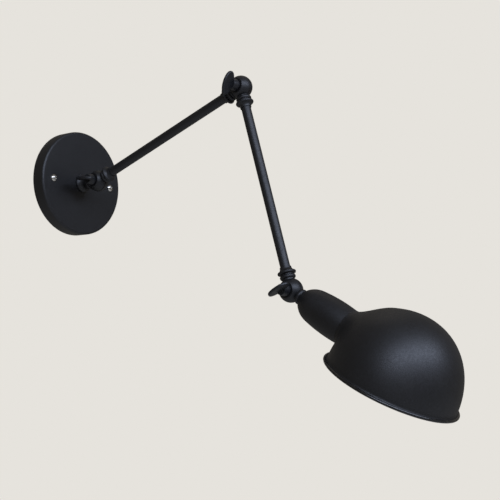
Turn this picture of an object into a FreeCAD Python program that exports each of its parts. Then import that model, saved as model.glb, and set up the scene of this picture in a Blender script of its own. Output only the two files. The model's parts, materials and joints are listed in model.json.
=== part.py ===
import FreeCAD, Part
import math
import os
import re

import Sketcher

# A two-section swing-arm wall lamp with three clamped knuckles, in millimetres.
# The origin is the centre of the wall plate's back, on the wall. +Z is up, and the lamp reaches out
# along -Y. Every knuckle turns about an axis parallel to X.
#
# Most pieces are drawn in a frame of their own whose Z axis runs along the stem that carries them,
# away from the pivot, and whose X axis is the hinge axis of the knuckle.

Vector = FreeCAD.Vector

# Driving sizes, one cell each in the sheet.
sizes = {
    # wall plate and its fixings
    "canopy_radius": 60.0,
    "canopy_depth": 16.0,
    "canopy_wall": 1.5,
    "canopy_edge": 2.5,          # rounding between the face and the side wall
    "canopy_screw_offset": 44.0,  # from the centre to each of the two face screws
    "face_screw_radius": 2.0,
    "face_screw_head": 3.9,
    "face_screw_dome": 2.6,
    "face_screw_reach": 8.0,
    "cross_width": 1.1,
    "cross_length": 4.4,
    "cross_depth": 1.5,
    "hole_clearance": 0.25,
    "thread_clearance": 0.05,
    "crossbar_width": 18.0,
    "crossbar_thickness": 2.0,
    "crossbar_leg": 39.0,        # from the centre to the outside of each upright
    "crossbar_ear": 51.0,        # from the centre to the end of each ear
    "bend_radius": 1.0,
    "wall_slot_spacing": 50.0,
    "wall_slot_length": 14.0,
    "wall_slot_radius": 2.25,
    "cable_hole": 6.5,
    "nut_flats": 14.0,
    "nut_thickness": 3.0,
    "lock_washer_radius": 9.5,
    "lock_washer_thickness": 1.0,
    "nipple_tail": 6.0,          # how far behind the face nut the nipple starts, from the wall
    "foot_collar_radius": 10.5,
    "foot_collar_rim": 2.0,
    # arms
    "stand_off": 41.8,           # from the wall to the first pivot
    "arm_length": 220.0,         # pivot to pivot
    "tube_radius": 5.0,
    "tube_bore": 3.8,
    "tube_clearance": 0.05,
    # knuckles
    "ball_radius": 12.0,
    "ball_clearance": 0.3,
    "clamp_flat": 9.0,           # from the pivot to the flat that the clamp bears on
    "running_gap": 0.1,
    "friction_thickness": 0.8,
    "friction_outer": 11.4,
    "friction_inner": 9.5,
    "cavity_radius": 9.2,
    "cavity_floor": 6.5,
    "boss_radius": 4.2,
    "duct_radius": 3.6,
    "neck_radius": 6.3,
    "ring_radius": 7.9,
    "ring_start": 11.6,
    "ring_end": 15.2,
    "ring_round": 0.9,
    "neck_end": 16.0,
    "neck_end_radius": 6.8,
    "tube_seat": 12.6,           # from the pivot to the shoulder that a tube's end meets
    # collars on the arms
    "collar_radius": 9.2,
    "collar_step": 0.5,
    "collar_flange": 2.8,
    "collar_flare": 3.6,
    "collar_length": 7.6,
    "collar_end_radius": 5.8,
    # wing screws
    "stud_radius": 2.5,
    "stud_end": 9.5,
    "clamp_washer_radius": 6.6,
    "clamp_washer_thickness": 1.0,
    "hub_radius": 6.2,
    "hub_end_radius": 5.4,
    "hub_length": 7.5,
    "wing_offset": 11.3,         # from the underside of the hub to the middle of the paddle
    "wing_span": 24.4,
    "wing_length": 14.0,
    "wing_thickness": 3.2,
    "wing_round": 1.2,
    # socket cup
    "cup_wall": 1.0,
    "cup_neck_radius": 7.5,
    "cup_shoulder_radius": 16.75,
    "cup_shoulder_at": 32.0,
    "cup_belly_radius": 18.5,
    "cup_belly_at": 53.0,
    "cup_mouth_radius": 17.9,
    "cup_mouth_at": 72.9,
    # lamp holder
    "nipple_reach": 28.0,
    "holder_radius": 15.2,
    "holder_start": 23.0,
    "holder_split": 40.0,
    "holder_wall": 1.2,
    "holder_floor": 46.0,
    "holder_mouth": 81.0,
    "holder_shoulder": 16.4,
    "holder_thread": 15.6,
    "shell_radius": 13.9,
    "shell_wall": 0.5,
    "shell_seat": 3.0,           # from the holder's floor up to the ledge that carries the shell
    "shell_foot": 3.5,
    "shell_length": 23.0,
    "contact_radius": 4.0,
    "contact_height": 2.6,
    "ring_nut_radius": 17.2,
    "ring_nut_length": 4.0,
    "ring_nut_notch": 1.5,
    # shade
    "shade_wall": 0.8,
    "dome_radius": 62.0,
    "dome_rise": 1.1387,         # the dome's height as a multiple of its radius
    "dome_fullness": 2.13,       # 2 is an ellipse, more is fuller at the shoulder
    "dome_gap": 2.6,             # from the spout's back to the dome's near wall at the rim
    "shade_drop": 0.379,         # cup's axis to the centre of the rim, in dome radii
    "shade_lean": 3.4,           # degrees between the rim's plane and the cup's axis
    "neck_back": 73.0,
    "spout_neck": 2.0,
    "spout_radius": 18.2,
    "spout_slope": 30.0,
    "spout_reach": 0.474,        # how far into the dome the cone runs, in dome radii
    "spout_blend": 5.0,
    "rim_flare": 3.0,            # how far the bead stands out from the dome
    "bead_radius": 1.5,
    "rim_rise": 5.0,
    # the pose that the lamp is drawn in: rise of each stem above the horizontal, in degrees
    "inner_arm_rise": 20.0,
    "outer_arm_rise": -73.8,
    "head_rise": -30.5,
    "base_wing_turn": 5.0,
    "elbow_wing_turn": 112.0,
    "head_wing_turn": -28.0,
}

doc = FreeCAD.newDocument("wall_lamp")
sheet = doc.addObject("Spreadsheet::Sheet", "Sizes")
for row, (alias, amount) in enumerate(sizes.items(), start=1):
    sheet.set(f"A{row}", alias)
    sheet.set(f"B{row}", str(amount))
    sheet.setAlias(f"B{row}", alias)
doc.recompute()

pieces = []


def bound(expression):
    """Turns "stand_off + 2" into "Sizes.stand_off + 2"."""
    return re.sub(
        r"[a-z][a-z_]+",
        lambda word: f"Sizes.{word[0]}" if word[0] in sizes else word[0],
        expression,
    )


def number(expression):
    return float(sheet.evalExpression(bound(expression)))


def new_body(label, placement):
    body = doc.addObject("PartDesign::Body", label)
    body.Label = label
    body.Placement = placement
    return body


def new_piece(label, placement):
    body = new_body(label, placement)
    pieces.append(body)
    return body


def attach(body, sketch, plane, offset="0"):
    """Puts a sketch on one of its own body's origin planes, lifted along the plane's normal."""
    own = [feature for feature in body.Origin.OriginFeatures if feature.Role == plane]
    sketch.AttachmentSupport = [(own[0], "")]
    sketch.MapMode = "FlatFace"
    if offset != "0":
        sketch.setExpression("AttachmentOffset.Base.z", bound(offset))


def pin(sketch, geometry, point, x, y):
    """Holds a point of the sketch at the coordinates that two expressions give."""
    for kind, axis, expression in (("DistanceX", -2, x), ("DistanceY", -1, y)):
        if expression == "0":
            sketch.addConstraint(
                Sketcher.Constraint("PointOnObject", geometry, point, axis)
            )
            continue
        index = sketch.addConstraint(
            Sketcher.Constraint(kind, geometry, point, number(expression))
        )
        sketch.setExpression(f"Constraints[{index}]", bound(expression))


def outline(body, name, plane, points, offset="0"):
    """A closed outline. Each point is (x, y), or (mid x, mid y, x, y) where an arc leads to it."""
    sketch = body.newObject("Sketcher::SketchObject", name)
    attach(body, sketch, plane, offset)
    spots = [Vector(number(p[-2]), number(p[-1]), 0) for p in points]
    ends = []
    for i, point in enumerate(points):
        start, stop = spots[i - 1], spots[i]
        if len(point) == 2:
            line = sketch.addGeometry(Part.LineSegment(start, stop))
            ends.append((line, 1, 2))
            continue
        middle = Vector(number(point[0]), number(point[1]), 0)
        turns_left = (middle - start).cross(stop - middle).z > 0
        first, last = (start, stop) if turns_left else (stop, start)
        arc = sketch.addGeometry(Part.Arc(first, middle, last))
        ends.append((arc, 1, 2) if turns_left else (arc, 2, 1))
        mark = sketch.addGeometry(Part.Point(middle), True)
        pin(sketch, mark, 1, point[0], point[1])
        sketch.addConstraint(Sketcher.Constraint("PointOnObject", mark, 1, arc))
    for i, point in enumerate(points):
        edge, _, tail = ends[i]
        following, head, _ = ends[(i + 1) % len(points)]
        sketch.addConstraint(
            Sketcher.Constraint("Coincident", edge, tail, following, head)
        )
        pin(sketch, edge, tail, point[-2], point[-1])
    return sketch


def circles(body, name, plane, spots, offset="0"):
    """Circles, each (x, y, radius)."""
    sketch = body.newObject("Sketcher::SketchObject", name)
    attach(body, sketch, plane, offset)
    for x, y, radius in spots:
        centre = Vector(number(x), number(y), 0)
        index = sketch.addGeometry(Part.Circle(centre, Vector(0, 0, 1), number(radius)))
        pin(sketch, index, 3, x, y)
        size = sketch.addConstraint(
            Sketcher.Constraint("Radius", index, number(radius))
        )
        sketch.setExpression(f"Constraints[{size}]", bound(radius))
    return sketch


def turned(body, name, axis, points):
    """Adds what the outline in the XZ plane sweeps about its X ("H_Axis") or Z ("V_Axis")."""
    sketch = outline(body, f"{name}_outline", "XZ_Plane", points)
    feature = body.newObject("PartDesign::Revolution", name)
    feature.Profile = sketch
    feature.ReferenceAxis = (sketch, [axis])
    feature.Angle = 360
    return feature


def cut_round(body, name, axis, points):
    """Cuts what the outline in the XZ plane sweeps about its X or Z."""
    sketch = outline(body, f"{name}_outline", "XZ_Plane", points)
    doc.recompute()
    before = body.Shape.Volume
    feature = body.newObject("PartDesign::Groove", name)
    feature.Profile = sketch
    feature.ReferenceAxis = (sketch, [axis])
    feature.Angle = 360
    doc.recompute()
    assert body.Shape.Volume < before, f"{name} cuts nothing"
    return feature


def padded(body, sketch, name, length, both_ways=False):
    feature = body.newObject("PartDesign::Pad", name)
    feature.Profile = sketch
    feature.SideType = "Symmetric" if both_ways else "One side"
    feature.setExpression("Length", bound(length))
    return feature


def cut_through(body, sketch, name):
    """Cuts the sketch through the whole body, both ways from its plane."""
    doc.recompute()
    before = body.Shape.Volume
    feature = body.newObject("PartDesign::Pocket", name)
    feature.Profile = sketch
    feature.Type = "ThroughAll"
    feature.SideType = "Symmetric"
    doc.recompute()
    assert body.Shape.Volume < before, f"{name} cuts nothing"
    return feature


def rounded(body, name, radius, chosen):
    """Rounds the edges of the body's last feature for which chosen(edge) is true."""
    doc.recompute()
    base = body.Tip
    names = [
        f"Edge{i}" for i, edge in enumerate(base.Shape.Edges, start=1) if chosen(edge)
    ]
    assert names, f"{name} finds no edge"
    feature = body.newObject("PartDesign::Fillet", name)
    feature.Base = (base, names)
    feature.setExpression("Radius", bound(radius))
    return feature


# ---------------------------------------------------------------- places


def aimed(pivot, rise):
    """A frame at the pivot with Z along a stem that rises by this angle, away from the wall."""
    return FreeCAD.Placement(pivot, FreeCAD.Rotation(Vector(1, 0, 0), 90 - rise))


def along(pivot, rise, distance):
    return aimed(pivot, rise).multVec(Vector(0, 0, distance))


arm_length = number("arm_length")
inner_rise = number("inner_arm_rise")
outer_rise = number("outer_arm_rise")
head_rise = number("head_rise")

wall = aimed(Vector(0, 0, 0), 0)
base_pivot = Vector(0, -number("stand_off"), 0)
elbow_pivot = along(base_pivot, inner_rise, arm_length)
head_pivot = along(elbow_pivot, outer_rise, arm_length)


# ---------------------------------------------------------------- wall plate


def crossbar():
    """A bent steel strap: flat on the wall, with an upright and an outward ear at each end."""
    body = new_piece("crossbar", wall)
    seat = "canopy_depth - canopy_wall"
    under = f"{seat} - crossbar_thickness"
    inside = "crossbar_leg - crossbar_thickness"
    strap = outline(
        body,
        "strap_outline",
        "XZ_Plane",
        [
            ("-crossbar_ear", seat),
            ("-crossbar_ear", under),
            ("-crossbar_leg", under),
            ("-crossbar_leg", "0"),
            ("crossbar_leg", "0"),
            ("crossbar_leg", under),
            ("crossbar_ear", under),
            ("crossbar_ear", seat),
            (inside, seat),
            (inside, "crossbar_thickness"),
            (f"-({inside})", "crossbar_thickness"),
            (f"-({inside})", seat),
        ],
    )
    padded(body, strap, "strap", "crossbar_width", both_ways=True)

    leg = number("crossbar_leg")
    thickness = number("crossbar_thickness")
    seat_at = number(seat)

    def bend_edges(edge, spots):
        middle = edge.CenterOfMass
        runs_across = abs(edge.tangentAt(edge.FirstParameter).y) > 0.99
        return runs_across and any(
            abs(abs(middle.x) - x) < 0.01 and abs(middle.z - z) < 0.01 for x, z in spots
        )

    outside = [(leg, 0), (leg - thickness, seat_at)]
    inside_bends = [(leg - thickness, thickness), (leg, seat_at - thickness)]
    rounded(
        body,
        "outer_bends",
        "bend_radius + crossbar_thickness",
        lambda edge: bend_edges(edge, outside),
    )
    rounded(
        body, "inner_bends", "bend_radius", lambda edge: bend_edges(edge, inside_bends)
    )

    run = "(wall_slot_length / 2 - wall_slot_radius)"
    middle = "wall_slot_spacing / 2"
    for side, sign in (("left", "-"), ("right", "")):
        near = f"{sign}({middle}) - {run}"
        far = f"{sign}({middle}) + {run}"
        slot = outline(
            body,
            f"{side}_slot_outline",
            "XY_Plane",
            [
                (near, "-wall_slot_radius"),
                (far, "-wall_slot_radius"),
                (f"{far} + wall_slot_radius", "0", far, "wall_slot_radius"),
                (near, "wall_slot_radius"),
                (
                    f"{near} - wall_slot_radius",
                    "0",
                    near,
                    "-wall_slot_radius",
                ),
            ][1:],
        )
        cut_through(body, slot, f"{side}_slot")
    holes = circles(
        body,
        "hole_centres",
        "XY_Plane",
        [
            ("0", "0", "cable_hole"),
            ("-canopy_screw_offset", "0", "face_screw_radius + thread_clearance"),
            ("canopy_screw_offset", "0", "face_screw_radius + thread_clearance"),
        ],
    )
    cut_through(body, holes, "holes")


def canopy():
    """The round wall plate: a shallow spun dish with a flat face and a softly rounded edge."""
    body = new_piece("canopy", wall)
    bore = "tube_radius + hole_clearance"
    inside = "canopy_radius - canopy_wall"
    soffit = "canopy_depth - canopy_wall"
    corner = "canopy_edge * (1 - sqrt(0.5))"
    inner_edge = "(canopy_edge - canopy_wall / 2)"
    inner_corner = f"{inner_edge} * (1 - sqrt(0.5))"
    turned(
        body,
        "dish",
        "V_Axis",
        [
            (bore, soffit),
            (f"{inside} - {inner_edge}", soffit),
            (
                f"{inside} - {inner_corner}",
                f"{soffit} - {inner_corner}",
                inside,
                f"{soffit} - {inner_edge}",
            ),
            (inside, "0"),
            ("canopy_radius", "0"),
            ("canopy_radius", "canopy_depth - canopy_edge"),
            (
                f"canopy_radius - {corner}",
                f"canopy_depth - {corner}",
                "canopy_radius - canopy_edge",
                "canopy_depth",
            ),
            (bore, "canopy_depth"),
        ],
    )
    hole = "face_screw_radius + hole_clearance"
    holes = circles(
        body,
        "screw_hole_centres",
        "XY_Plane",
        [("-canopy_screw_offset", "0", hole), ("canopy_screw_offset", "0", hole)],
    )
    cut_through(body, holes, "screw_holes")


def face_screw(label, sideways):
    """A domed machine screw with a cross recess. Its head stands on the canopy's face."""
    spot = wall.multVec(Vector(sideways, 0, number("canopy_depth")))
    body = new_body(label, FreeCAD.Placement(spot, wall.Rotation))
    turned(
        body,
        "screw",
        "V_Axis",
        [
            ("0", "-face_screw_reach"),
            ("face_screw_radius", "-face_screw_reach"),
            ("face_screw_radius", "0"),
            ("face_screw_head", "0"),
            ("face_screw_head", "face_screw_dome * 0.35"),
            (
                "face_screw_head * 0.66",
                "face_screw_dome * 0.86",
                "0",
                "face_screw_dome",
            ),
        ],
    )
    wide = "cross_width / 2"
    long = "cross_length / 2"
    cross = outline(
        body,
        "cross_outline",
        "XY_Plane",
        [
            (long, wide),
            (wide, wide),
            (wide, long),
            (f"-{wide}", long),
            (f"-{wide}", wide),
            (f"-{long}", wide),
            (f"-{long}", f"-{wide}"),
            (f"-{wide}", f"-{wide}"),
            (f"-{wide}", f"-{long}"),
            (wide, f"-{long}"),
            (wide, f"-{wide}"),
            (long, f"-{wide}"),
        ],
        offset="face_screw_dome - cross_depth",
    )
    doc.recompute()
    before = body.Shape.Volume
    recess = body.newObject("PartDesign::Pocket", "recess")
    recess.Profile = cross
    recess.Reversed = True
    recess.setExpression("Length", bound("cross_depth * 2"))
    doc.recompute()
    assert body.Shape.Volume < before, "the cross recess cuts nothing"
    return body


def canopy_screws():
    """The two screws in the face, as one group."""
    offset = number("canopy_screw_offset")
    group = doc.addObject("Part::Compound", "canopy_screws")
    group.Links = [
        face_screw("left_face_screw", -offset),
        face_screw("right_face_screw", offset),
    ]
    pieces.append(group)


def canopy_nipple():
    """The hollow threaded tube that holds the base knuckle to the canopy."""
    body = new_piece("canopy_nipple", wall)
    end = "stand_off - tube_seat"
    turned(
        body,
        "nipple",
        "V_Axis",
        [
            ("duct_radius", "nipple_tail"),
            ("tube_radius", "nipple_tail"),
            ("tube_radius", end),
            ("duct_radius", end),
        ],
    )


def lock_washer(label, placement, outer, stop):
    """A plain washer about a nipple, ending at this place along it."""
    body = new_piece(label, placement)
    start = f"{stop} - lock_washer_thickness"
    bore = "tube_radius + hole_clearance"
    turned(
        body,
        "washer",
        "V_Axis",
        [(bore, start), (outer, start), (outer, stop), (bore, stop)],
    )


def lock_nut(label, placement, start):
    """A thin hexagonal nut on a nipple."""
    body = new_piece(label, placement)
    corner = "nut_flats / sqrt(3)"
    half = "nut_flats / 2"
    hexagon = outline(
        body,
        "hexagon",
        "XY_Plane",
        [
            (corner, "0"),
            (f"{corner} / 2", half),
            (f"-{corner} / 2", half),
            (f"-{corner}", "0"),
            (f"-{corner} / 2", f"-{half}"),
            (f"{corner} / 2", f"-{half}"),
        ],
        offset=start,
    )
    padded(body, hexagon, "hexagon_bar", "nut_thickness")
    bore = circles(
        body,
        "bore_centre",
        "XY_Plane",
        [("0", "0", "tube_radius + thread_clearance")],
    )
    cut_through(body, bore, "bore")


def canopy_collar():
    """The trumpet-shaped foot between the canopy's face and the base knuckle."""
    body = new_piece("canopy_collar", wall)
    top = "stand_off - neck_end"
    bore = "tube_radius + tube_clearance"
    rim = "canopy_depth + foot_collar_rim"
    turned(
        body,
        "foot",
        "V_Axis",
        [
            (bore, "canopy_depth"),
            ("foot_collar_radius", "canopy_depth"),
            ("foot_collar_radius", rim),
            (
                "neck_end_radius + (foot_collar_radius - neck_end_radius) * 0.3",
                f"{rim} + ({top} - ({rim})) * 0.28",
                "neck_end_radius",
                top,
            ),
            (bore, top),
        ],
    )


# ---------------------------------------------------------------- knuckles


def knuckle_neck(body):
    """The stem of a knuckle half: a groove beside the ball, a beaded ring and a plain end."""
    shoulder = "ring_radius - ring_round"
    turned(
        body,
        "neck",
        "V_Axis",
        [
            ("0", "boss_radius"),
            ("neck_radius", "boss_radius"),
            ("neck_radius", "ring_start"),
            (shoulder, "ring_start"),
            (
                "ring_radius",
                "(ring_start + ring_end) / 2",
                shoulder,
                "ring_end",
            ),
            ("neck_end_radius", "ring_end"),
            ("neck_end_radius", "neck_end"),
            ("0", "neck_end"),
        ],
    )


def cable_way(body):
    """The duct from the ball's hollow out through the neck, and the seat for the tube's end."""
    seat = "tube_radius + tube_clearance"
    cut_round(
        body,
        "duct",
        "V_Axis",
        [
            ("0", "cavity_radius - 1"),
            ("duct_radius", "cavity_radius - 1"),
            ("duct_radius", "tube_seat"),
            (seat, "tube_seat"),
            (seat, "neck_end + 1"),
            ("0", "neck_end + 1"),
        ],
    )


def on_sphere(radius, x):
    """Distance from the X axis of a sphere's surface at x."""
    return f"sqrt(({radius})^2 - ({x})^2)"


def other_half_room(body, face, sign):
    """Clears the space in which the other half of the knuckle turns."""
    room = "ball_radius + ball_clearance"
    middle = f"({room}) * sqrt(0.5)"
    cut_round(
        body,
        "room",
        "H_Axis",
        [
            (face, "0"),
            (f"{sign}({room})", "0"),
            (f"{sign}({middle})", middle, face, on_sphere(room, face)),
        ],
    )


def hollow(body, face, sign):
    """The ring-shaped space round the screw's boss that the cable passes through."""
    floor = f"{sign}cavity_floor"
    middle = f"{sign}cavity_floor * 0.6"
    cut_round(
        body,
        "hollow",
        "H_Axis",
        [
            (face, "boss_radius"),
            (floor, "boss_radius"),
            (floor, on_sphere("cavity_radius", floor)),
            (
                middle,
                on_sphere("cavity_radius", middle),
                face,
                on_sphere("cavity_radius", face),
            ),
        ],
    )


def clamp_half(label, placement):
    """The knuckle half under the wing screw: half a ball with a flat, and its neck."""
    body = new_piece(label, placement)
    face = "-friction_thickness / 2"
    middle = "-clamp_flat * 0.55"
    knuckle_neck(body)
    other_half_room(body, face, "")
    turned(
        body,
        "half_ball",
        "H_Axis",
        [
            (face, "0"),
            (face, on_sphere("ball_radius", face)),
            (
                middle,
                on_sphere("ball_radius", middle),
                "-clamp_flat",
                on_sphere("ball_radius", "clamp_flat"),
            ),
            ("-clamp_flat", "0"),
        ],
    )
    hollow(body, face, "-")
    cable_way(body)
    bore = "stud_radius + hole_clearance"
    cut_round(
        body,
        "stud_hole",
        "H_Axis",
        [
            (face, "0"),
            (face, bore),
            ("-clamp_flat - 1", bore),
            ("-clamp_flat - 1", "0"),
        ],
    )


def tapped_half(label, placement):
    """The knuckle half that the wing screw draws in: a full dome with a blind tapped boss."""
    body = new_piece(label, placement)
    face = "(friction_thickness / 2 + running_gap)"
    middle = "(ball_radius * sqrt(0.5))"
    knuckle_neck(body)
    other_half_room(body, face, "-")
    turned(
        body,
        "half_ball",
        "H_Axis",
        [
            (face, "0"),
            ("ball_radius", "0"),
            (middle, middle, face, on_sphere("ball_radius", face)),
        ],
    )
    hollow(body, face, "")
    cable_way(body)
    bore = "stud_radius + thread_clearance"
    cut_round(
        body,
        "tapped_hole",
        "H_Axis",
        [
            (face, "0"),
            ("stud_end + hole_clearance", "0"),
            ("stud_end + hole_clearance", bore),
            (face, bore),
        ],
    )


def flat_ring(label, placement, inner, outer, start, stop):
    """A washer about the hinge axis, between two places along X."""
    body = new_piece(label, placement)
    turned(
        body,
        "ring",
        "H_Axis",
        [(start, inner), (start, outer), (stop, outer), (stop, inner)],
    )


def wing_screw(label, placement):
    """A cast butterfly head on a stud: an oval paddle across a waisted hub."""
    body = new_piece(label, placement)
    seat = "-clamp_flat - clamp_washer_thickness - running_gap"
    hub = f"{seat} - hub_length"
    oval = body.newObject("Sketcher::SketchObject", "paddle_outline")
    attach(body, oval, "XZ_Plane")
    centre = Vector(number(f"{seat} - wing_offset"), 0, 0)
    tip = centre + Vector(0, number("wing_span / 2"), 0)
    crown = centre - Vector(number("wing_length / 2"), 0, 0)
    ellipse = oval.addGeometry(Part.Ellipse(tip, crown, centre))
    pin(oval, ellipse, 3, f"{seat} - wing_offset", "0")
    oval.exposeInternalGeometry(ellipse)
    long_axis = ellipse + 1
    short_axis = ellipse + 2
    oval.addConstraint(Sketcher.Constraint("Vertical", long_axis))
    for axis, length in ((long_axis, "wing_span"), (short_axis, "wing_length")):
        index = oval.addConstraint(
            Sketcher.Constraint("Distance", axis, number(length))
        )
        oval.setExpression(f"Constraints[{index}]", bound(length))
    padded(body, oval, "paddle", "wing_thickness", both_ways=True)
    rim = number("wing_thickness") / 2
    rounded(
        body,
        "paddle_edge",
        "wing_round",
        lambda edge: abs(abs(edge.CenterOfMass.y) - rim) < 0.01,
    )
    hub_body = turned(
        body,
        "stud_and_hub",
        "H_Axis",
        [
            ("stud_end", "0"),
            ("stud_end", "stud_radius - 0.4"),
            ("stud_end - 0.4", "stud_radius"),
            (seat, "stud_radius"),
            (seat, "hub_radius"),
            (f"{seat} - hub_length * 0.3", "hub_radius"),
            (
                f"{seat} - hub_length * 0.7",
                "(hub_radius + hub_end_radius) / 2",
                hub,
                "hub_end_radius",
            ),
            (hub, "0"),
        ],
    )
    hub_body.Refine = False


def knuckle(name, pivot, carrier_rise, carried_rise, carrier, carried, wing_turn):
    """A whole knuckle. The stem towards the wall carries the clamp side and its washers."""
    clamp_half(carrier, aimed(pivot, carrier_rise))
    tapped_half(carried, aimed(pivot, carried_rise))
    flat_ring(
        f"{name}_friction_washer",
        aimed(pivot, carrier_rise),
        "friction_inner",
        "friction_outer",
        "-friction_thickness / 2",
        "friction_thickness / 2",
    )
    flat_ring(
        f"{name}_clamp_washer",
        aimed(pivot, carrier_rise),
        "stud_radius + hole_clearance",
        "clamp_washer_radius",
        "-clamp_flat - clamp_washer_thickness",
        "-clamp_flat",
    )
    wing_screw(f"{name}_wing_screw", aimed(pivot, 180 - wing_turn))


# ---------------------------------------------------------------- arms


def arm_tube(label, placement):
    body = new_piece(label, placement)
    section = circles(
        body,
        "section",
        "XY_Plane",
        [("0", "0", "tube_radius"), ("0", "0", "tube_bore")],
        offset="tube_seat",
    )
    padded(body, section, "tube", "arm_length - 2 * tube_seat")


def arm_collar(label, placement):
    """A turned flange with a trumpet-shaped flare that runs out on the tube."""
    body = new_piece(label, placement)
    bore = "tube_radius + tube_clearance"
    start = "neck_end + collar_step"
    stop = f"{start} + collar_flange"
    flared = f"{stop} + collar_flare"
    shoulder = "collar_radius - 0.8"
    turned(
        body,
        "collar",
        "V_Axis",
        [
            (bore, "neck_end"),
            ("neck_end_radius", "neck_end"),
            ("neck_end_radius", start),
            (shoulder, start),
            ("collar_radius", f"{start} + collar_flange / 2", shoulder, stop),
            (
                f"collar_end_radius + ({shoulder} - collar_end_radius) * 0.3",
                f"{stop} + collar_flare * 0.36",
                "collar_end_radius",
                flared,
            ),
            ("collar_end_radius", "neck_end + collar_length"),
            (bore, "neck_end + collar_length"),
        ],
    )


def arm(name, pivot, rise, far_pivot):
    """A tube between two collars. The knuckles add the halves at its ends."""
    arm_tube(f"{name}_tube", aimed(pivot, rise))
    arm_collar(f"{name}_rear_collar", aimed(pivot, rise))
    arm_collar(f"{name}_front_collar", aimed(far_pivot, rise + 180))


# ---------------------------------------------------------------- head


def head_nipple(place):
    """The hollow threaded tube that holds the cup and the lamp holder to the head knuckle."""
    body = new_piece("head_nipple", place)
    turned(
        body,
        "nipple",
        "V_Axis",
        [
            ("duct_radius", "tube_seat"),
            ("tube_radius", "tube_seat"),
            ("tube_radius", "nipple_reach"),
            ("duct_radius", "nipple_reach"),
        ],
    )


def socket_cup(place):
    """The egg-shaped spun cover over the lamp holder."""
    body = new_piece("socket_cup", place)
    bore = "tube_radius + tube_clearance"
    top = "neck_end"
    rise = "(cup_shoulder_at - neck_end)"
    spread = "(cup_shoulder_radius - cup_neck_radius)"
    inner_top = "neck_end + cup_wall"
    turned(
        body,
        "cup",
        "V_Axis",
        [
            (bore, top),
            ("cup_neck_radius", top),
            (
                f"cup_neck_radius + {spread} * 0.6",
                f"{top} + {rise} * 0.38",
                "cup_shoulder_radius",
                "cup_shoulder_at",
            ),
            ("cup_belly_radius", "cup_belly_at", "cup_mouth_radius", "cup_mouth_at"),
            ("cup_mouth_radius - cup_wall", "cup_mouth_at"),
            (
                "cup_belly_radius - cup_wall",
                "cup_belly_at",
                "cup_shoulder_radius - cup_wall",
                "cup_shoulder_at",
            ),
            (
                f"cup_neck_radius + {spread} * 0.6 - cup_wall * sqrt(0.5)",
                f"{top} + {rise} * 0.38 + cup_wall * sqrt(0.5)",
                "cup_neck_radius - cup_wall * 0.5",
                inner_top,
            ),
            (bore, inner_top),
        ],
    )


def holder_cap(place):
    """The upper half of the lamp holder, screwed on the nipple, with room for the terminals."""
    body = new_piece("holder_cap", place)
    bore = "tube_radius + thread_clearance"
    shoulder = "holder_start + 11"
    turned(
        body,
        "cap",
        "V_Axis",
        [
            (bore, "holder_start"),
            ("holder_radius * 0.56", "holder_start"),
            (
                "holder_radius * 0.8",
                "holder_start + 4.5",
                "holder_radius - 0.4",
                shoulder,
            ),
            ("holder_radius - 0.4", "holder_split"),
            ("holder_radius - 0.4 - holder_wall", "holder_split"),
            ("holder_radius - 0.4 - holder_wall", shoulder),
            ("holder_radius * 0.56", "holder_start + 6"),
            (bore, "holder_start + 6"),
        ],
    )


def holder_body(place):
    """The lower half of the lamp holder: a barrel with a floor, a shoulder and an outer thread."""
    body = new_piece("holder_body", place)
    bore = "shell_radius + tube_clearance"
    turned(
        body,
        "barrel",
        "V_Axis",
        [
            ("contact_radius * 0.4", "holder_floor - 2"),
            ("shell_radius - 1", "holder_floor - 2"),
            ("shell_radius - 1", "holder_split"),
            ("holder_radius", "holder_split"),
            ("holder_radius", "neck_back - 3"),
            ("holder_shoulder", "neck_back - 3"),
            ("holder_shoulder", "neck_back"),
            ("holder_thread", "neck_back"),
            ("holder_thread", "holder_mouth"),
            (bore, "holder_mouth"),
            (bore, "holder_floor + shell_seat"),
            ("shell_radius - shell_foot", "holder_floor + shell_seat"),
            ("shell_radius - shell_foot", "holder_floor"),
            ("contact_radius * 0.4", "holder_floor"),
        ],
    )


def thread_shell(place):
    """The screw shell that takes the lamp's cap, with a turned-in foot on the holder's ledge."""
    body = new_piece("thread_shell", place)
    inner = "shell_radius - shell_wall"
    foot = "shell_radius - shell_foot"
    ledge = "holder_floor + shell_seat"
    turned(
        body,
        "shell",
        "V_Axis",
        [
            (foot, ledge),
            ("shell_radius", ledge),
            ("shell_radius", f"{ledge} + shell_length"),
            (inner, f"{ledge} + shell_length"),
            (inner, f"{ledge} + shell_wall"),
            (foot, f"{ledge} + shell_wall"),
        ],
    )


def centre_contact(place):
    """The sprung button that the lamp's cap presses on, with its rivet through the floor."""
    body = new_piece("centre_contact", place)
    rivet = "contact_radius * 0.4 - thread_clearance"
    turned(
        body,
        "button",
        "V_Axis",
        [
            ("0", "holder_floor - 3"),
            (rivet, "holder_floor - 3"),
            (rivet, "holder_floor"),
            ("contact_radius", "holder_floor"),
            ("contact_radius", "holder_floor + contact_height * 0.4"),
            (
                "contact_radius * 0.75",
                "holder_floor + contact_height * 0.85",
                "contact_radius * 0.35",
                "holder_floor + contact_height",
            ),
            ("0", "holder_floor + contact_height"),
        ],
    )


def shade_ring(place):
    """The threaded ring inside the shade that clamps it to the lamp holder, with finger notches."""
    body = new_piece("shade_ring", place)
    bore = "holder_thread + thread_clearance"
    start = "neck_back + shade_wall"
    stop = f"{start} + ring_nut_length"
    turned(
        body,
        "ring",
        "V_Axis",
        [
            (bore, start),
            ("ring_nut_radius", start),
            ("ring_nut_radius", stop),
            (bore, stop),
        ],
    )
    notch = circles(
        body,
        "notch_centre",
        "XY_Plane",
        [("ring_nut_radius + ring_nut_notch * 0.5", "0", "ring_nut_notch")],
    )
    cut = cut_through(body, notch, "notch")
    pattern = body.newObject("PartDesign::PolarPattern", "notches")
    pattern.Originals = [cut]
    pattern.Axis = (notch, ["N_Axis"])
    pattern.Angle = 360
    pattern.Occurrences = 12
    body.Tip = pattern


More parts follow.
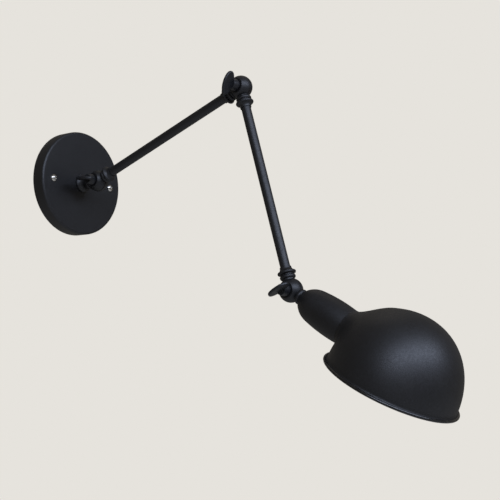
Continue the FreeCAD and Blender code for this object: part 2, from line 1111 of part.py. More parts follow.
def dome_point(radius, height, turn):
    """A point of the dome's profile, a superellipse, in the XZ plane."""
    power = 2 / number("dome_fullness")
    return Vector(radius * math.cos(turn) ** power, 0, height * math.sin(turn) ** power)


def dome_solid(radius, height):
    """The dome above the flare at its rim, solid, about the Z axis."""
    low = math.asin((number("rim_rise") / height) ** (number("dome_fullness") / 2))
    steps = 10
    turns = [low + (math.pi / 2 - low) * i / steps for i in range(steps)]
    spots = [dome_point(radius, height, turn) for turn in turns]
    top = Vector(0, 0, height)
    curve = Part.BSplineCurve()
    curve.interpolate(
        Points=spots + [top],
        InitialTangent=Vector(0, 0, 1),
        FinalTangent=Vector(-1, 0, 0),
    )
    foot = Vector(0, 0, spots[0].z)
    profile = Part.Wire(
        [curve.toShape(), Part.makeLine(top, foot), Part.makeLine(foot, spots[0])]
    )
    return Part.Face(profile).revolve(Vector(0, 0, 0), Vector(0, 0, 1), 360), spots[0]


def spout_solid(back, offset):
    """The short neck and the cone that widens from it into the dome, about the cup's axis."""
    slope = math.radians(number("spout_slope"))
    neck = number("spout_radius") - offset
    start = number("neck_back + spout_neck") + offset * math.tan(slope / 2)
    stop = number("neck_back + dome_gap + spout_reach * dome_radius")
    mouth = neck + (stop - start) * math.tan(slope)
    corners = [(0, back), (neck, back), (neck, start), (mouth, stop), (0, stop), (0, back)]
    face = Part.Face(Part.makePolygon([Vector(x, 0, z) for x, z in corners]))
    return face.revolve(Vector(0, 0, 0), Vector(0, 0, 1), 360)


def blended(solid, radius):
    """Rounds the line where the spout's cone runs into the dome."""
    dome_and_cone = {Part.SurfaceOfRevolution, Part.Cone}
    seams = [
        edge
        for edge in solid.Edges
        if {type(face.Surface) for face in solid.ancestorsOfType(edge, Part.Face)}
        == dome_and_cone
    ]
    assert seams, "the spout doesn't meet the dome"
    return solid.makeFillet(radius, seams)


def rim_solid(outside, inside):
    """The sheet's outward flare below the dome, and the rolled bead that ends it."""
    bead = number("bead_radius")
    middle = number("dome_radius + rim_flare - bead_radius")
    half_wall = number("shade_wall") / 2

    def flare(start, end):
        run = end.x - start.x
        drop = start.z - end.z
        bend = (run**2 + drop**2) / (2 * run)
        half_turn = math.asin(drop / bend) / 2
        between = Vector(
            start.x + bend * (1 - math.cos(half_turn)),
            0,
            start.z - bend * math.sin(half_turn),
        )
        return Part.Arc(start, between, end).toShape()

    outer_end = Vector(middle + half_wall, 0, bead)
    inner_end = Vector(middle - half_wall, 0, bead)
    section = Part.Wire(
        [
            flare(outside, outer_end),
            Part.makeLine(outer_end, inner_end),
            flare(inside, inner_end),
            Part.makeLine(inside, outside),
        ]
    )
    ring = Part.Face(section).revolve(Vector(0, 0, 0), Vector(0, 0, 1), 360)
    return ring.fuse(Part.makeTorus(middle, bead, Vector(0, 0, bead)))


def shade(place):
    """A spun dome with a side spout: one sheet, open at the rim, with a rolled bead round it."""
    sheet_wall = number("shade_wall")
    radius = number("dome_radius")
    height = number("dome_radius * dome_rise")
    back = number("neck_back")
    rise = number("rim_rise")
    upright = FreeCAD.Rotation(Vector(1, 0, 0), -(90 + number("shade_lean")))
    rim_centre = Vector(
        0,
        -number("shade_drop * dome_radius"),
        number("neck_back + dome_gap + dome_radius"),
    )
    standing = FreeCAD.Placement(rim_centre, upright)
    reach = 4 * radius
    below = Part.makeBox(2 * reach, 2 * reach, reach, Vector(-reach, -reach, rise - reach))
    below.Placement = standing

    def skin(offset, start):
        dome, edge = dome_solid(radius - offset, height - offset)
        dome.Placement = standing
        whole = dome.fuse(spout_solid(start, offset)).cut(below).removeSplitter()
        return blended(whole, number("spout_blend") + offset), edge

    outer, outer_edge = skin(0, back)
    inner, inner_edge = skin(sheet_wall, back + sheet_wall)
    rim = rim_solid(outer_edge, inner_edge)
    rim.Placement = standing
    hole = Part.makeCylinder(
        number("holder_thread + hole_clearance"), 4 * sheet_wall, Vector(0, 0, back - 1)
    )
    feature = doc.addObject("Part::Feature", "shade")
    feature.Shape = outer.cut(inner).fuse(rim).cut(hole).removeSplitter()
    feature.Placement = place
    pieces.append(feature)


def lamp_head():
    place = aimed(head_pivot, head_rise)
    head_nipple(place)
    socket_cup(place)
    cup_floor = "neck_end + cup_wall"
    lock_washer(
        "cup_washer", place, "cup_neck_radius - 0.6", f"{cup_floor} + lock_washer_thickness"
    )
    lock_nut("cup_nut", place, f"{cup_floor} + lock_washer_thickness")
    holder_cap(place)
    holder_body(place)
    thread_shell(place)
    centre_contact(place)
    shade_ring(place)
    shade(place)


# ---------------------------------------------------------------- the lamp

crossbar()
canopy()
canopy_screws()
canopy_nipple()
behind_face = "canopy_depth - canopy_wall"
lock_washer("canopy_washer", wall, "lock_washer_radius", behind_face)
lock_nut("canopy_nut", wall, f"{behind_face} - lock_washer_thickness - nut_thickness")
canopy_collar()
arm("inner_arm", base_pivot, inner_rise, elbow_pivot)
arm("outer_arm", elbow_pivot, outer_rise, head_pivot)
knuckle(
    "base",
    base_pivot,
    180,
    inner_rise,
    "base_knuckle",
    "inner_arm_rear_knuckle",
    number("base_wing_turn"),
)
knuckle(
    "elbow",
    elbow_pivot,
    inner_rise + 180,
    outer_rise,
    "inner_arm_front_knuckle",
    "outer_arm_rear_knuckle",
    number("elbow_wing_turn"),
)
knuckle(
    "head",
    head_pivot,
    outer_rise + 180,
    head_rise,
    "outer_arm_front_knuckle",
    "head_knuckle",
    number("head_wing_turn"),
)
lamp_head()
doc.recompute()

for item in doc.Objects:
    assert not {"Invalid", "Error"} & set(item.State), f"{item.Label}: {item.State}"

os.makedirs("parts", exist_ok=True)
for piece in pieces:
    shape = piece.Shape
    assert not shape.isNull() and shape.isValid(), f"{piece.Label} is not a valid solid"
    shape.exportStep(f"parts/{piece.Label}.step")
    print(f"{piece.Label}: {len(shape.Solids)} solid, {shape.Volume:.1f} mm3")
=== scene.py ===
import json
import math

import bpy
import numpy as np
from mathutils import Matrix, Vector


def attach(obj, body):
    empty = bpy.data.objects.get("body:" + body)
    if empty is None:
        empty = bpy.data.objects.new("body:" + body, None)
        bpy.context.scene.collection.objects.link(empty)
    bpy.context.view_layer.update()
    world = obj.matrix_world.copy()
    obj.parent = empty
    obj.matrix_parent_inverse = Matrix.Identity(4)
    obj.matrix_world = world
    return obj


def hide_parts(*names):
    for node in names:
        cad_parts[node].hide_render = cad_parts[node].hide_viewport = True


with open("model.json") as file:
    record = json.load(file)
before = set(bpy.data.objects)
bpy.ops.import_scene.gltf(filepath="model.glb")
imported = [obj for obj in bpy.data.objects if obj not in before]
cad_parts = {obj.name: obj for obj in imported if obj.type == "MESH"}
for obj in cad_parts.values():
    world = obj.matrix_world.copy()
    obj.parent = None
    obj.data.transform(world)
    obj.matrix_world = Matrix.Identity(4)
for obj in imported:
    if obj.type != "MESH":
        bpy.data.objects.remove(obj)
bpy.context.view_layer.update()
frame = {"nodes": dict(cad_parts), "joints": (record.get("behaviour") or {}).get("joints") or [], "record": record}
nodes = frame["nodes"]
millimetre = 0.001

# Settings, in millimetres and degrees unless a name says otherwise.
cameraPlace = {
    "position": (-756.5, -829.5, -193.0),
    "yaw": 53.04,
    "pitch": 5.99,
    "lens": 68.4,
    "sensor": 36.0,
}
shadeForm = {
    "domeRadius": 62.0,
    "domeHeight": 70.6,
    "fullness": 2.13,
    "axisAt": 137.6,
    "drop": 23.5,
    "lean": 3.4,
    "neckBack": 73.0,
    "neckRadius": 18.2,
    "coneStart": 75.0,
    "coneSlope": 30.0,
    "coneEnd": 105.0,
    "coneStartBlend": 1.5,
    "coneEndBlend": 4.0,
    "spoutCap": 4.0,  # how far past the cone's end the spout is cut off, inside the dome
    "capBlend": 1.0,
    "blend": 7.0,
    "rise": 5.0,
    "rimRadius": 65.0,
    "sheet": 0.8,
    "holeRadius": 15.9,
    "columns": 360,
    "rows": 104,
    "flareRows": 7,
    "bead": 1.5,
    "beadSides": 18,
    "beadWall": 0.6,
    "beadStart": 200,
    "beadSweep": 340,
    "rayNear": 20.0,
    "rayFar": 110.0,
    "raySteps": 34,
    "topAngle": 89.4,
}
neckForm = {
    "clearance": 0.03,  # the ring stands this much proud of the spout's sheet
    "corner": 0.35,
    "chamfer": 0.1,
    "wall": 0.8,
    "straightEnd": 0.6,
    "lapStart": 0.7,
    "lapEnd": 1.2,
    "lapOut": 0.9,
    "lapIn": 0.7,
    "columns": 144,
}
shellForm = {
    "radius": 13.45,
    "depth": 0.392,
    "pitch": 3.63,
    "start": 49.3,
    "length": 22.4,
    "fade": 2.5,
    "foot": 10.6,
    "wall": 0.3,
    "columns": 120,
    "rows": 130,
}
ringForm = {
    "boreRadius": 15.65,
    "bodyRadius": 16.7,
    "start": 73.85,
    "height": 3.9,
    "edge": 0.35,
    "columns": 144,
    "ribs": 48,
    "ribRadius": 0.42,
    "ribSides": 10,
}


# Places: the head's own frame has s along the cup and q square to it, upwards.

joints = {joint["name"]: joint for joint in frame["joints"]}
mounts = {mount["name"]: mount for mount in frame["record"]["mounts"]}
headPivot = Vector(joints["head_tilt"]["pos_m"])
cupAxis = Vector(mounts["lamp_socket"]["axis"]).normalized()
upAxis = Vector((1, 0, 0)).cross(cupAxis)
if upAxis.z < 0:
    upAxis.negate()
headFrame = np.array([(1, 0, 0), tuple(upAxis), tuple(cupAxis)])


def fromHead(points):
    return np.asarray(points) * millimetre @ headFrame + np.array(headPivot)


# Materials


def linear(hexColour):
    channels = [int(hexColour[i : i + 2], 16) / 255 for i in (1, 3, 5)]
    return [c / 12.92 if c <= 0.04045 else ((c + 0.055) / 1.055) ** 2.4 for c in channels] + [1.0]


def addNode(tree, kind, links=None, **values):
    node = tree.nodes.new(kind)
    for name, value in values.items():
        if hasattr(node, name):
            setattr(node, name, value)
        else:
            node.inputs[name.replace("_", " ")].default_value = value
    for name, source in (links or {}).items():
        tree.links.new(source, node.inputs[name])
    return node


def startMaterial(name, colour, roughness, metallic=0.0, **extra):
    material = bpy.data.materials.new(name)
    material.use_nodes = True
    tree = material.node_tree
    shader = tree.nodes["Principled BSDF"]
    shader.inputs["Base Color"].default_value = linear(colour)
    shader.inputs["Roughness"].default_value = roughness
    shader.inputs["Metallic"].default_value = metallic
    for socket, value in extra.items():
        shader.inputs[socket.replace("_", " ")].default_value = value
    place = addNode(tree, "ShaderNodeTexCoord").outputs["Object"]
    return material, tree, shader, place


def noise(tree, place, size, detail=3.0, stretch=(1, 1, 1)):
    # A noise whose grain is this many millimetres across.
    scale = tuple(axis / (size * millimetre) for axis in stretch)
    mapped = addNode(tree, "ShaderNodeMapping", {"Vector": place})
    mapped.inputs["Scale"].default_value = scale
    return addNode(
        tree, "ShaderNodeTexNoise", {"Vector": mapped.outputs["Vector"]}, Scale=1.0, Detail=detail
    ).outputs["Fac"]


def spread(tree, source, low, high, start=0.3, end=0.7):
    ranged = addNode(tree, "ShaderNodeMapRange", {"Value": source})
    ranged.inputs["From Min"].default_value = start
    ranged.inputs["From Max"].default_value = end
    ranged.inputs["To Min"].default_value = low
    ranged.inputs["To Max"].default_value = high
    return ranged.outputs["Result"]


def blendColours(tree, factor, first, second):
    mix = addNode(tree, "ShaderNodeMix", {"Factor": factor}, data_type="RGBA")
    for socket in mix.inputs:
        if socket.type == "RGBA":
            socket.default_value = linear(first if socket.name == "A" else second)
    return next(output for output in mix.outputs if output.type == "RGBA")


def surfaceRelief(tree, shader, height, strength, depth, edge=0.0):
    # Depth is in millimetres. An edge radius lets sharp corners catch the light.
    bump = addNode(tree, "ShaderNodeBump", {"Height": height}, Strength=strength)
    bump.inputs["Distance"].default_value = depth * millimetre
    if edge:
        rounded = addNode(tree, "ShaderNodeBevel", samples=4, Radius=edge * millimetre)
        tree.links.new(rounded.outputs["Normal"], bump.inputs["Normal"])
    tree.links.new(bump.outputs["Normal"], shader.inputs["Normal"])


def powderPaint():
    # Satin black powder paint: fine orange peel and a faint bloom of dust.
    material, tree, shader, place = startMaterial("powderPaint", "#101012", 0.4, IOR=1.5)
    bloom = noise(tree, place, 28.0, 4.0)
    colour = blendColours(tree, spread(tree, bloom, 0.0, 1.0), "#0e0e10", "#151516")
    tree.links.new(colour, shader.inputs["Base Color"])
    grain = noise(tree, place, 2.2, 2.0)
    tree.links.new(spread(tree, grain, 0.44, 0.53), shader.inputs["Roughness"])
    surfaceRelief(tree, shader, noise(tree, place, 0.55, 2.0), 0.35, 0.05, edge=0.35)
    return material


def wornPaint():
    # The same paint where fingers turn it: a little smoother and browner on the high spots.
    material, tree, shader, place = startMaterial("wornPaint", "#1a1b1e", 0.38, IOR=1.5)
    rub = noise(tree, place, 5.0, 5.0)
    colour = blendColours(tree, spread(tree, rub, 0.0, 1.0, 0.48, 0.72), "#131417", "#1f2023")
    tree.links.new(colour, shader.inputs["Base Color"])
    tree.links.new(spread(tree, rub, 0.52, 0.4), shader.inputs["Roughness"])
    surfaceRelief(tree, shader, noise(tree, place, 0.8, 3.0), 0.4, 0.06, edge=0.4)
    return material


def rimPaint():
    # Paint drawn thin over the rolled rim and polished by handling: a crisp line of light.
    material, tree, shader, place = startMaterial("rimPaint", "#131313", 0.24, IOR=1.5)
    rub = noise(tree, place, 6.0, 4.0)
    colour = blendColours(tree, spread(tree, rub, 0.0, 1.0, 0.45, 0.7), "#121213", "#24221f")
    tree.links.new(colour, shader.inputs["Base Color"])
    tree.links.new(spread(tree, rub, 0.28, 0.2), shader.inputs["Roughness"])
    surfaceRelief(tree, shader, noise(tree, place, 1.2, 2.0), 0.2, 0.03)
    return material


def enamelWhite():
    # Warm white stove enamel that throws the lamp's light out.
    material, tree, shader, place = startMaterial("enamelWhite", "#e9e6dd", 0.34, IOR=1.52)
    flow = noise(tree, place, 24.0, 3.0)
    colour = blendColours(tree, spread(tree, flow, 0.0, 1.0), "#ece9e1", "#dedacd")
    tree.links.new(colour, shader.inputs["Base Color"])
    surfaceRelief(tree, shader, noise(tree, place, 3.0, 2.0), 0.12, 0.05)
    return material


def nickelPlate():
    # Bright plated screw heads, with the fine rings of turning.
    material, tree, shader, place = startMaterial("nickelPlate", "#cfccc4", 0.2, 1.0)
    haze = noise(tree, place, 1.2, 4.0)
    tree.links.new(spread(tree, haze, 0.14, 0.3), shader.inputs["Roughness"])
    surfaceRelief(tree, shader, noise(tree, place, 0.2, 2.0), 0.15, 0.02, edge=0.2)
    return material


def zincPlate():
    # Pale yellowish zinc on pressed steel, cloudy and dull.
    material, tree, shader, place = startMaterial("zincPlate", "#b9b7ac", 0.4, 1.0)
    cloud = noise(tree, place, 6.0, 5.0)
    colour = blendColours(tree, spread(tree, cloud, 0.0, 1.0), "#bcbab2", "#a8a48f")
    tree.links.new(colour, shader.inputs["Base Color"])
    tree.links.new(spread(tree, cloud, 0.32, 0.5), shader.inputs["Roughness"])
    surfaceRelief(tree, shader, noise(tree, place, 0.4, 2.0), 0.2, 0.03, edge=0.3)
    return material


def blackenedSteel():
    # Oil-blacked washers, rubbed bright in fine arcs.
    material, tree, shader, place = startMaterial("blackenedSteel", "#2a2a2c", 0.44, 1.0)
    rub = noise(tree, place, 1.6, 5.0)
    colour = blendColours(tree, spread(tree, rub, 0.0, 1.0, 0.45, 0.75), "#242427", "#4a4a49")
    tree.links.new(colour, shader.inputs["Base Color"])
    surfaceRelief(tree, shader, rub, 0.15, 0.02, edge=0.2)
    return material


def vulcanFibre():
    # Brown pressed fibre between the knuckle's halves: dry, with short streaks.
    material, tree, shader, place = startMaterial("vulcanFibre", "#4b3226", 0.8, IOR=1.45)
    streak = noise(tree, place, 0.9, 4.0, (1.0, 0.3, 0.3))
    colour = blendColours(tree, spread(tree, streak, 0.0, 1.0), "#3d281e", "#5f4535")
    tree.links.new(colour, shader.inputs["Base Color"])
    surfaceRelief(tree, shader, streak, 0.4, 0.05)
    return material


def mouldedPhenolic():
    # Black-brown moulded resin, glossy with a faint flow marbling.
    material, tree, shader, place = startMaterial("mouldedPhenolic", "#1c1715", 0.26, IOR=1.6)
    marble = noise(tree, place, 7.0, 6.0)
    colour = blendColours(tree, spread(tree, marble, 0.0, 1.0), "#171311", "#2b211b")
    tree.links.new(colour, shader.inputs["Base Color"])
    surfaceRelief(tree, shader, noise(tree, place, 1.5, 2.0), 0.08, 0.04, edge=0.3)
    return material


def rolledBrass():
    # Rolled brass, lightly tarnished in the hollows of the thread.
    material, tree, shader, place = startMaterial("rolledBrass", "#d0a85c", 0.24, 1.0)
    tarnish = noise(tree, place, 4.0, 5.0)
    colour = blendColours(tree, spread(tree, tarnish, 0.0, 1.0), "#d8b269", "#a98243")
    tree.links.new(colour, shader.inputs["Base Color"])
    tree.links.new(spread(tree, tarnish, 0.18, 0.36), shader.inputs["Roughness"])
    surfaceRelief(tree, shader, noise(tree, place, 0.3, 2.0), 0.12, 0.02)
    return material


paint = powderPaint()
rubbedPaint = wornPaint()
rolledPaint = rimPaint()
enamel = enamelWhite()
nickel = nickelPlate()
zinc = zincPlate()
blackSteel = blackenedSteel()
fibre = vulcanFibre()
phenolic = mouldedPhenolic()
brass = rolledBrass()
slotMaterials = {
    "black_paint": paint,
    "bright_screws": nickel,
    "zinc_steel": zinc,
    "dark_steel": blackSteel,
    "fibre": fibre,
    "phenolic": phenolic,
    "brass_shell": brass,
}
for subpart in frame["record"]["subparts"]:
    name = subpart["node"]
    chosen = slotMaterials[subpart["material_slot"]]
    if name.endswith("wing_screw"):
        chosen = rubbedPaint
    nodes[name].data.materials.clear()
    nodes[name].data.materials.append(chosen)
print("materials done")


# Pieces


def makePiece(name, points, faces, materials, body, replaced):
    mesh = bpy.data.meshes.new(name)
    mesh.from_pydata([tuple(p) for p in points], [], faces)
    for material in materials:
        mesh.materials.append(material)
    mesh.validate()
    piece = bpy.data.objects.new(name, mesh)
    bpy.context.scene.collection.objects.link(piece)
    for polygon in mesh.polygons:
        polygon.use_smooth = True
    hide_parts(replaced)
    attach(piece, body)
    return piece


def gridFaces(rows, columns, first=0, flip=False):
    # Quads between rings of vertices, each ring closed on itself.
    faces = []
    for row in range(rows - 1):
        for column in range(columns):
            following = (column + 1) % columns
            a = first + row * columns + column
            b = first + row * columns + following
            c = b + columns
            d = a + columns
            faces.append((d, c, b, a) if flip else (a, b, c, d))
    return faces


def applyModifiers(piece):
    graph = bpy.context.evaluated_depsgraph_get()
    mesh = bpy.data.meshes.new_from_object(piece.evaluated_get(graph))
    piece.modifiers.clear()
    piece.data = mesh


def smoothMaximum(a, b, width):
    blend = np.clip(0.5 + 0.5 * (a - b) / width, 0, 1)
    return b * (1 - blend) + a * blend + width * blend * (1 - blend)


def smoothMinimum(a, b, width):
    return -smoothMaximum(-a, -b, width)


def shadeDistance(points, form):
    # Signed distance, in millimetres, to the dome joined to its spout. Points are (x, q, s).
    lean = math.radians(form["lean"])
    x, q, s = points[..., 0], points[..., 1], points[..., 2]
    ahead = s - form["axisAt"]
    above = q + form["drop"]
    u = above * math.cos(lean) - ahead * math.sin(lean)
    v = above * math.sin(lean) + ahead * math.cos(lean)
    n = form["fullness"]
    radial = np.hypot(x, v) / form["domeRadius"]
    high = np.abs(u) / form["domeHeight"]
    dome = ((radial**n + high**n) ** (1 / n) - 1) * form["domeRadius"]
    slope = math.tan(math.radians(form["coneSlope"]))
    run = smoothMaximum(s - form["coneStart"], 0.0 * s, form["coneStartBlend"])
    longest = 0.0 * s + form["coneEnd"] - form["coneStart"]
    run = smoothMinimum(run, longest, form["coneEndBlend"])
    spout = (np.hypot(x, q) - form["neckRadius"] - run * slope) * math.cos(math.atan(slope))
    spout = smoothMaximum(spout, s - form["coneEnd"] - form["spoutCap"], form["capBlend"])
    whole = smoothMinimum(dome, spout, form["blend"])
    return np.maximum(whole, form["neckBack"] + form["sheet"] / 2 - s)


def domeToHead(x, v, u, form):
    lean = math.radians(form["lean"])
    q = -form["drop"] + v * math.sin(lean) + u * math.cos(lean)
    s = form["axisAt"] + v * math.cos(lean) - u * math.sin(lean)
    return np.stack([x, q, s], axis=-1)


def domeRays(form):
    # Where rays from the rim's centre leave the shade, by bisection from outside.
    columns, rows = form["columns"], form["rows"]
    around = np.linspace(0, 2 * math.pi, columns, endpoint=False)
    lowest = math.asin(form["rise"] / form["domeRadius"])
    climb = np.linspace(lowest, math.radians(form["topAngle"]), rows)
    climb, around = np.meshgrid(climb, around, indexing="ij")
    directions = (np.cos(climb) * np.sin(around), np.cos(climb) * np.cos(around), np.sin(climb))
    near = np.full(climb.shape, form["rayNear"])
    far = np.full(climb.shape, form["rayFar"])
    for step in range(form["raySteps"]):
        middle = (near + far) / 2
        points = domeToHead(*[middle * part for part in directions], form)
        inside = shadeDistance(points, form) < 0
        near = np.where(inside, middle, near)
        far = np.where(inside, far, middle)
    return [near * part for part in directions]


def shadeShell(form):
    columns, rows = form["columns"], form["rows"]
    x, v, u = domeRays(form)
    rings = []
    start = np.hypot(x[0], v[0])
    low = form["rise"]
    middle = form["rimRadius"] - form["bead"]
    bend = middle + form["sheet"] / 2 - form["domeRadius"]
    reach = ((low - form["bead"]) ** 2 + bend**2) / (2 * bend)
    for i in range(form["flareRows"], 0, -1):
        drop = (low - form["bead"]) * i / form["flareRows"]
        out = reach - math.sqrt(reach**2 - drop**2)
        radius = start + out
        rings.append((x[0] / start * radius, v[0] / start * radius, u[0] * 0 + low - drop))
    for row in range(rows):
        rings.append((x[row], v[row], u[row]))
    points = np.concatenate([domeToHead(*ring, form) for ring in rings])
    faces = gridFaces(len(rings), columns)
    apex = len(points)
    top = domeToHead(np.array([0.0]), np.array([0.0]), np.array([form["domeHeight"]]), form)
    points = np.concatenate([points, top])
    last = (len(rings) - 1) * columns
    faces += [(last + i, last + (i + 1) % columns, apex) for i in range(columns)]
    # The holder passes through here, so the faces over its hole are left out.
    keep = []
    for face in faces:
        centre = points[list(face)].mean(axis=0)
        inHole = math.hypot(centre[0], centre[1]) < form["holeRadius"] + form["sheet"] / 2
        if not (inHole and centre[2] < form["neckBack"] + 2):
            keep.append(face)
    piece = makePiece(
        "shadeShell", fromHead(points), keep, [paint, enamel], "head", "shade"
    )
    sheet = piece.modifiers.new("sheet", "SOLIDIFY")
    sheet.thickness = form["sheet"] * millimetre
    sheet.offset = -1
    sheet.material_offset = 1
    sheet.material_offset_rim = 0
    applyModifiers(piece)
    return piece


def revolved(profile, columns, toHead):
    # Rings of vertices about an axis, from (radius, height) pairs.
    turns = np.linspace(0, 2 * math.pi, columns, endpoint=False)
    rings = [toHead(r * np.sin(turns), r * np.cos(turns), 0 * turns + h) for r, h in profile]
    return np.concatenate(rings)


def rimBead(form):
    # The sheet rolled outwards into a tube, with the seam tucked underneath.
    sides = form["beadSides"]
    middle = form["rimRadius"] - form["bead"]
    step = form["beadSweep"] / sides
    turns = [math.radians(form["beadStart"] - step * i) for i in range(sides + 1)]
    outer, inner = form["bead"], form["bead"] - form["beadWall"]
    profile = []
    for radius, order in ((outer, turns), (inner, turns[::-1])):
        for turn in order:
            height = form["bead"] + radius * math.sin(turn)
            profile.append((middle + radius * math.cos(turn), height))
    profile.append(profile[0])
    columns = form["columns"]
    points = revolved(profile, columns, lambda a, b, c: domeToHead(a, b, c, form))
    faces = gridFaces(len(profile), columns)
    piece = makePiece(
        "rimBead", fromHead(points), faces, [rolledPaint], "head", "shade"
    )
    return piece


def neckRing(shade, form):
    # The turned-in end of the spout, where the ring clamps the shade to the lamp holder.
    slope = math.tan(math.radians(shade["coneSlope"]))
    neck = shade["neckRadius"] + form["clearance"]
    hole, back, start = shade["holeRadius"], shade["neckBack"], shade["coneStart"]
    corner, chamfer, wall = form["corner"], form["chamfer"], form["wall"]
    profile = [
        (hole, back + wall),
        (hole, back),
        (neck - corner, back),
        (neck - chamfer, back + chamfer),
        (neck, back + corner),
        (neck, start - form["straightEnd"]),
        (neck + chamfer, start - chamfer),
        (neck + form["lapOut"] * slope, start + form["lapStart"]),
        (neck + form["lapIn"] * slope, start + form["lapEnd"]),
        (neck - wall, start),
        (neck - wall, back + wall),
        (hole, back + wall),
    ]
    columns = form["columns"]
    points = revolved(profile, columns, lambda a, b, c: np.stack([a, b, c], axis=-1))
    faces = gridFaces(len(profile), columns)
    return makePiece(
        "neckRing", fromHead(points), faces, [paint], "head", "shade"
    )


def threadShell(form):
    # The socket's rolled round thread, which fades out at both ends.
    columns, rows = form["columns"], form["rows"]
    turns = np.linspace(0, 2 * math.pi, columns, endpoint=False)
    rings = []
    for row in range(rows):
        along = form["length"] * row / (rows - 1)
        fade = min(1.0, along / form["fade"], (form["length"] - along) / form["fade"])
        wave = np.cos(2 * math.pi * along / form["pitch"] - turns)
        radius = form["radius"] + form["depth"] * (wave * fade + (1 - fade))
        rings.append((radius, 0 * turns + form["start"] + along))
    foot = (0 * turns + form["foot"], 0 * turns + form["start"])
    rings.insert(0, foot)
    points = np.concatenate(
        [np.stack([r * np.sin(turns), r * np.cos(turns), s], axis=-1) for r, s in rings]
    )
    faces = gridFaces(len(rings), columns, flip=True)
    piece = makePiece(
        "threadShell", fromHead(points), faces, [brass], "head", "thread_shell"
    )
    sheet = piece.modifiers.new("sheet", "SOLIDIFY")
    sheet.thickness = form["wall"] * millimetre
    sheet.offset = 0
    applyModifiers(piece)
    return piece


def ribsTree(form, material):
    # Joins the ring's body with one round rib for every step around it.
    tree = bpy.data.node_groups.new("ringRibs", "GeometryNodeTree")
    tree.interface.new_socket("Geometry", in_out="INPUT", socket_type="NodeSocketGeometry")
    count = tree.interface.new_socket("Ribs", in_out="INPUT", socket_type="NodeSocketInt")
    radius = tree.interface.new_socket("Rib radius", in_out="INPUT", socket_type="NodeSocketFloat")
    tree.interface.new_socket("Geometry", in_out="OUTPUT", socket_type="NodeSocketGeometry")
    given = addNode(tree, "NodeGroupInput")
    result = addNode(tree, "NodeGroupOutput")
    circle = addNode(
        tree,
        "GeometryNodeMeshCircle",
        {"Vertices": given.outputs["Ribs"]},
        Radius=form["bodyRadius"] * millimetre,
    )
    rib = addNode(
        tree,
        "GeometryNodeMeshCylinder",
        {"Radius": given.outputs["Rib radius"]},
        Vertices=form["ribSides"],
        Depth=(form["height"] - 2 * form["edge"]) * millimetre,
    )
    ribs = addNode(
        tree,
        "GeometryNodeInstanceOnPoints",
        {"Points": circle.outputs["Mesh"], "Instance": rib.outputs["Mesh"]},
    )
    joined = addNode(tree, "GeometryNodeJoinGeometry")
    tree.links.new(ribs.outputs["Instances"], joined.inputs["Geometry"])
    tree.links.new(given.outputs["Geometry"], joined.inputs["Geometry"])
    real = addNode(
        tree, "GeometryNodeRealizeInstances", {"Geometry": joined.outputs["Geometry"]}
    )
    finish = addNode(tree, "GeometryNodeSetMaterial", {"Geometry": real.outputs["Geometry"]})
    finish.inputs["Material"].default_value = material
    tree.links.new(finish.outputs["Geometry"], result.inputs["Geometry"])
    return tree, count.identifier, radius.identifier


def gripRing(form):
    half = form["height"] / 2
    edge = form["edge"]
    profile = [
        (form["boreRadius"], -half),
        (form["bodyRadius"] - edge, -half),
        (form["bodyRadius"], -half + edge),
        (form["bodyRadius"], half - edge),
        (form["bodyRadius"] - edge, half),
        (form["boreRadius"], half),
        (form["boreRadius"], -half),
    ]
    columns = form["columns"]
    points = revolved(profile, columns, lambda a, b, c: np.stack([a, b, c], axis=-1))
    faces = gridFaces(len(profile), columns)
    piece = makePiece(
        "gripRing", points * millimetre, faces, [phenolic], "head", "shade_ring"
    )
    tree, ribsInput, radiusInput = ribsTree(form, phenolic)
    ribs = piece.modifiers.new("ribs", "NODES")
    ribs.node_group = tree
    ribs[ribsInput] = form["ribs"]
    ribs[radiusInput] = form["ribRadius"] * millimetre
    applyModifiers(piece)
    place = np.array([v.co[:] for v in piece.data.vertices]) / millimetre
    place[:, 2] += form["start"] + half
    piece.data.vertices.foreach_set("co", fromHead(place).ravel())
    piece.data.update()
    return piece


shadeShell(shadeForm)
rimBead(shadeForm)
neckRing(shadeForm, neckForm)
print("shade done")
threadShell(shellForm)
gripRing(ringForm)
print("lamp holder done")


# Stage, light and camera

stageForm = {
    "floorHeight": -1.5,
    "floorReach": 4.0,
    "floorLift": 0.7,
    "seenStrength": 1.0,
    "litStrength": 0.2,
}  # in metres
keyForm = {
    "place": (-0.75, -2.1, 1.1),
    "target": (0, -0.35, -0.15),
    "size": (4.2, 1.0),
    "power": 84,
    "colour": "#d6e3ff",
}  # in metres and watts, a wide soft box that lays one band of light across the shade
topForm = {
    "place": (0.9, 0.3, 1.9),
    "target": (0, -0.35, -0.1),
    "size": (1.2, 1.2),
    "power": 1.5,
    "colour": "#fff4e6",
}

def stagePiece(name, points, faces, material):
    mesh = bpy.data.meshes.new(name)
    mesh.from_pydata(points, [], faces)
    mesh.materials.append(material)
    piece = bpy.data.objects.new(name, mesh)
    bpy.context.scene.collection.objects.link(piece)
    return piece


def areaLight(name, form):
    light = bpy.data.lights.new(name, "AREA")
    light.shape = "RECTANGLE"
    light.size, light.size_y = form["size"]
    light.energy = form["power"]
    light.color = linear(form["colour"])[:3]
    lamp = bpy.data.objects.new(name, light)
    place = Vector(form["place"])
    lamp.location = place
    lamp.rotation_euler = (Vector(form["target"]) - place).to_track_quat("-Z", "Y").to_euler()
    bpy.context.scene.collection.objects.link(lamp)


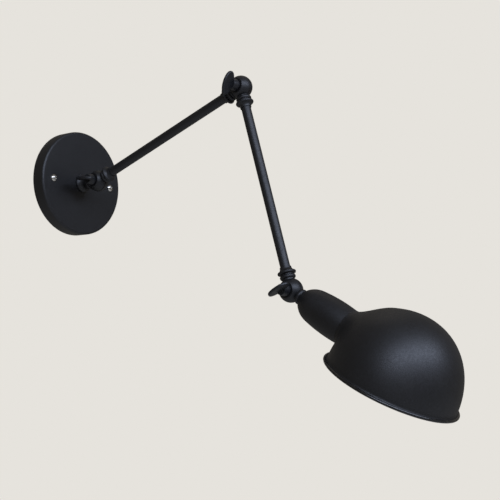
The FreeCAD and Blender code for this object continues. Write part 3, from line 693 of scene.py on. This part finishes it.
def paleWorld(form):
    world = bpy.data.worlds.new("studio")
    world.use_nodes = True
    tree = world.node_tree
    tree.nodes.clear()
    path = addNode(tree, "ShaderNodeLightPath")
    seen = addNode(tree, "ShaderNodeBackground", Strength=form["seenStrength"])
    seen.inputs["Color"].default_value = linear("#e6e3dd")
    lit = addNode(tree, "ShaderNodeBackground", Strength=form["litStrength"])
    lit.inputs["Color"].default_value = linear("#efe7db")
    mix = addNode(tree, "ShaderNodeMixShader", {"Fac": path.outputs["Is Camera Ray"]})
    tree.links.new(lit.outputs["Background"], mix.inputs[1])
    tree.links.new(seen.outputs["Background"], mix.inputs[2])
    result = addNode(tree, "ShaderNodeOutputWorld")
    tree.links.new(mix.outputs["Shader"], result.inputs["Surface"])
    bpy.context.scene.world = world


def placeCamera(form):
    camera = bpy.data.cameras.new("camera")
    camera.lens = form["lens"]
    camera.sensor_width = form["sensor"]
    camera.clip_end = 50
    holder = bpy.data.objects.new("camera", camera)
    yaw = math.radians(form["yaw"])
    pitch = math.radians(form["pitch"])
    ahead = Vector(
        (math.sin(yaw) * math.cos(pitch), math.cos(yaw) * math.cos(pitch), math.sin(pitch))
    )
    holder.location = Vector(form["position"]) * millimetre
    holder.rotation_euler = ahead.to_track_quat("-Z", "Y").to_euler()
    bpy.context.scene.collection.objects.link(holder)
    bpy.context.scene.camera = holder




def paleFloor(form):
    # Matt painted board, lifted for the camera alone so that it meets the backdrop's tone.
    material, tree, shader, place = startMaterial("paleFloor", "#e4e1da", 0.8)
    path = addNode(tree, "ShaderNodeLightPath")
    shader.inputs["Emission Color"].default_value = linear("#e6e3dd")
    seen = path.outputs["Is Camera Ray"]
    lift = addNode(tree, "ShaderNodeMath", {0: seen}, operation="MULTIPLY")
    lift.inputs[1].default_value = form["floorLift"]
    tree.links.new(lift.outputs["Value"], shader.inputs["Emission Strength"])
    return material


height, reach = stageForm["floorHeight"], stageForm["floorReach"]
corners = [(-reach, -reach), (reach, -reach), (reach, reach), (-reach, reach)]
floorPoints = [(x, y, height) for x, y in corners]
stagePiece("floor", floorPoints, [(0, 1, 2, 3)], paleFloor(stageForm))
paleWorld(stageForm)
areaLight("keyLight", keyForm)
areaLight("topLight", topForm)
placeCamera(cameraPlace)
bpy.context.scene.view_settings.view_transform = "Standard"
print("stage done")
